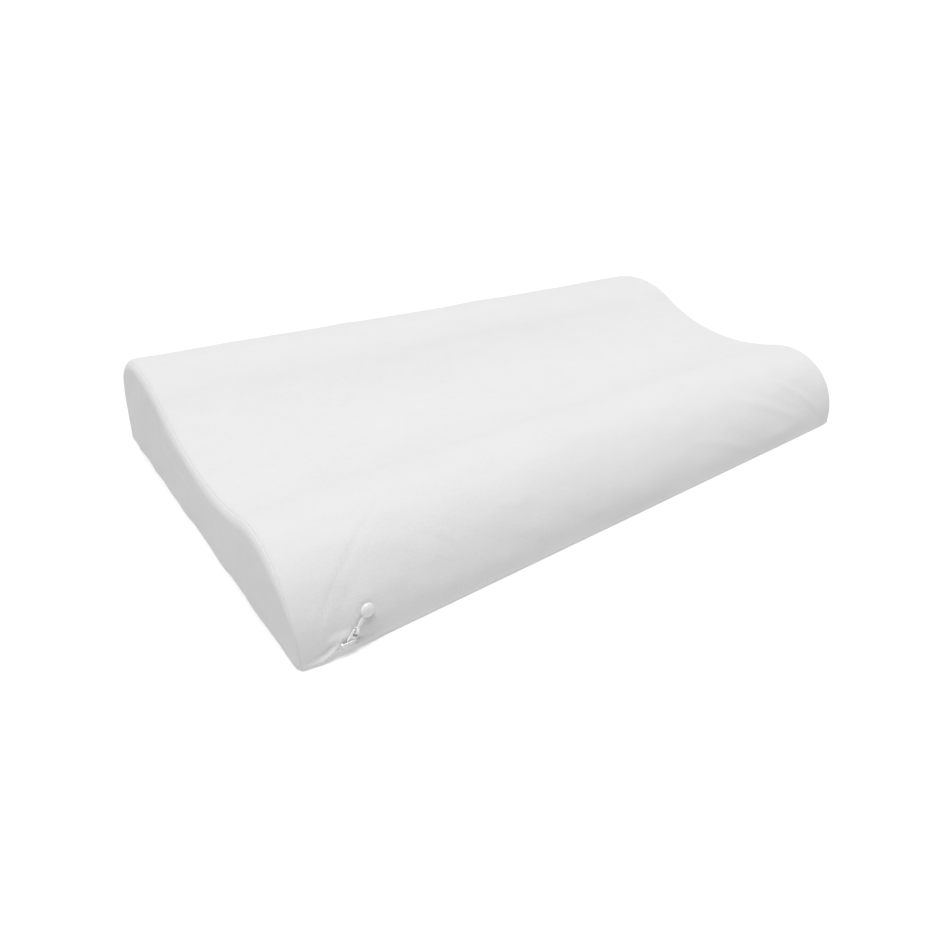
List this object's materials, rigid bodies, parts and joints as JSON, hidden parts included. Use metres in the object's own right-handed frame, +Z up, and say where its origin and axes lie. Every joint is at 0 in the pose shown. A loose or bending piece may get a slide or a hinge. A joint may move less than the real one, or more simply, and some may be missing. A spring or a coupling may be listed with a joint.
{
  "type": "contour bed pillow",
  "caption": "Contour foam bed pillow with a low front lobe, a valley and a high back lobe, in a zipped white velour cover with a round-ended zip pull.",
  "frame": {"origin": "middle of the pillow's footprint, on the surface that it lies on", "axes": "+X along the pillow, -Y the front with the low lobe and the zip, +Z up"},
  "size_m": [0.61, 0.3805, 0.096],
  "materials": {
    "foam": "matt open-cell memory foam",
    "liner_knit": "thin plain knit",
    "velour": "short soft pile, matt",
    "zip_tape": "woven tape",
    "zip_coil": "satin monofilament",
    "zip_metal": "white enamel",
    "pull_finish": "white enamel, rounded"
  },
  "bodies": {
    "pillow": {"foam_core": "foam", "inner_liner": "liner_knit", "cover_top_panel": "velour", "cover_bottom_panel": "velour", "cover_left_end_panel": "velour", "cover_right_end_panel": "velour", "zip_tape_upper": "zip_tape", "zip_tape_lower": "zip_tape", "zip_coil_upper": "zip_coil", "zip_coil_lower": "zip_coil", "zip_top_stops": "zip_metal", "zip_bottom_stop": "zip_metal"},
    "slider": {"zip_slider": "zip_metal"},
    "link": {"pull_link": "zip_metal"},
    "pull": {"pull_tab": "pull_finish"}
  },
  "joints": [
    {"name": "zip_slide", "type": "slide", "parent": "pillow", "child": "slider", "axis": [1, 0, 0], "range_m": [0, 0.5499]},
    {"name": "pull_sway", "type": "hinge", "parent": "slider", "child": "link", "pos_m": [-0.2736, -0.19056, 0.00907], "axis": [0, -0.9903, 0.1392], "range_deg": [-35, 35]},
    {"name": "pull_flip", "type": "hinge", "parent": "link", "child": "pull", "pos_m": [-0.26923, -0.18984, 0.01423], "axis": [0.766, -0.0895, -0.6365], "range_deg": [0, 120]}
  ]
}
